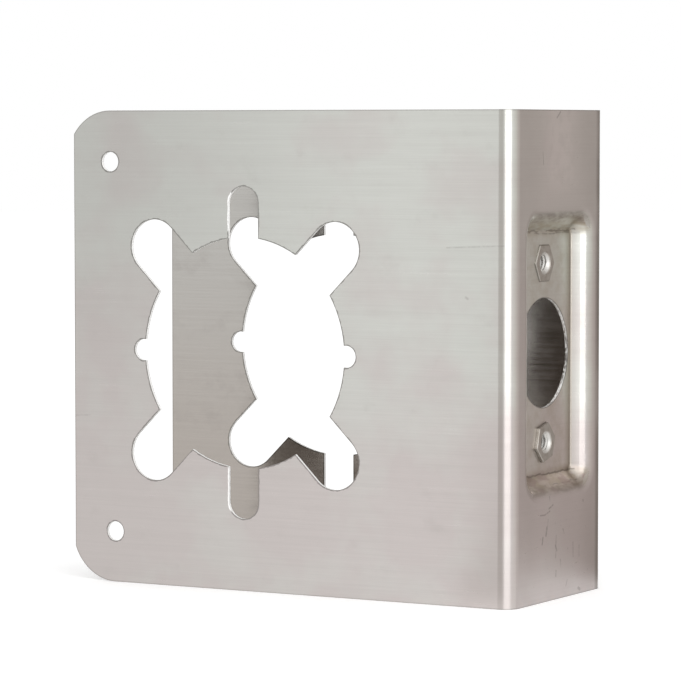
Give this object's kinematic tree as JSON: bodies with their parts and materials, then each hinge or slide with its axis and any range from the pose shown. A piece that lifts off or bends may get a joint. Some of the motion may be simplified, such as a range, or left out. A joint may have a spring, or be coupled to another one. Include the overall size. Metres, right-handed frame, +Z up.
{
  "type": "wrap-around door plate",
  "caption": "U-shaped folded steel plate that wraps a door's edge, with a drawn pocket for a latch faceplate, threaded nuts, and matching lobed lock cut-outs and screw holes in both legs.",
  "frame": {"origin": "centre of the latch bore, on the outer face of the pocket's floor", "axes": "+X along the latch bore and out of the door's edge, +Y from the front leg to the back leg, +Z up"},
  "size_m": [0.1194, 0.0485, 0.1142],
  "materials": {
    "sheet": "brushed stainless, grain along the legs",
    "nut": "plain stainless"
  },
  "bodies": {
    "root": {"wrap_plate": "sheet", "upper_latch_nut": "nut", "lower_latch_nut": "nut"}
  },
  "joints": []
}
